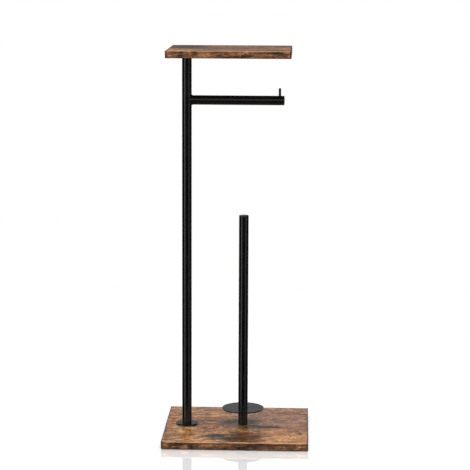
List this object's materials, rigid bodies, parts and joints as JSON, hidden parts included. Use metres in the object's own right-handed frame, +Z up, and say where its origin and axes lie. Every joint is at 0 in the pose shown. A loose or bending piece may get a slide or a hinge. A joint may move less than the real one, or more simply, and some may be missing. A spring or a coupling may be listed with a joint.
{
  "type": "toilet roll storage holder",
  "caption": "Free-standing toilet roll holder: round post on a wood-look base, small shelf on top, arm with a stop pin for the roll in use, and an upright rod with a rest disc for spare rolls.",
  "frame": {"origin": "on the floor, under the middle of the base board", "axes": "+X to the right along the arm, +Y to the back, +Z up"},
  "size_m": [0.24, 0.224, 0.646],
  "materials": {
    "wood_face": "rustic brown wood-look laminate, satin",
    "edge_band": "dark brown wood-look edge band, satin",
    "black_paint": "black powder coat, satin",
    "black_plastic": "black moulded plastic",
    "zinc_steel": "zinc-plated steel",
    "pad_rubber": "dark foam rubber"
  },
  "bodies": {
    "root": {"base_board": "wood_face", "base_band_front": "edge_band", "base_band_back": "edge_band", "base_band_left": "edge_band", "base_band_right": "edge_band", "foot_pads": "pad_rubber", "shelf_board": "wood_face", "shelf_band_front": "edge_band", "shelf_band_back": "edge_band", "shelf_band_left": "edge_band", "shelf_band_right": "edge_band", "post_tube": "black_paint", "post_foot_flange": "black_paint", "post_insert": "zinc_steel", "post_bolt": "zinc_steel", "post_washer": "zinc_steel", "shelf_plate": "black_paint", "shelf_screws": "zinc_steel", "arm_tube": "black_paint", "arm_weld_bead": "black_paint", "arm_end_cap": "black_plastic", "arm_stop_pin": "black_paint", "rod_tube": "black_paint", "rod_end_cap": "black_plastic", "rod_insert": "zinc_steel", "rod_spacer": "black_paint", "roll_rest_disc": "black_paint", "rod_bolt": "zinc_steel", "rod_washer": "zinc_steel"}
  },
  "joints": []
}
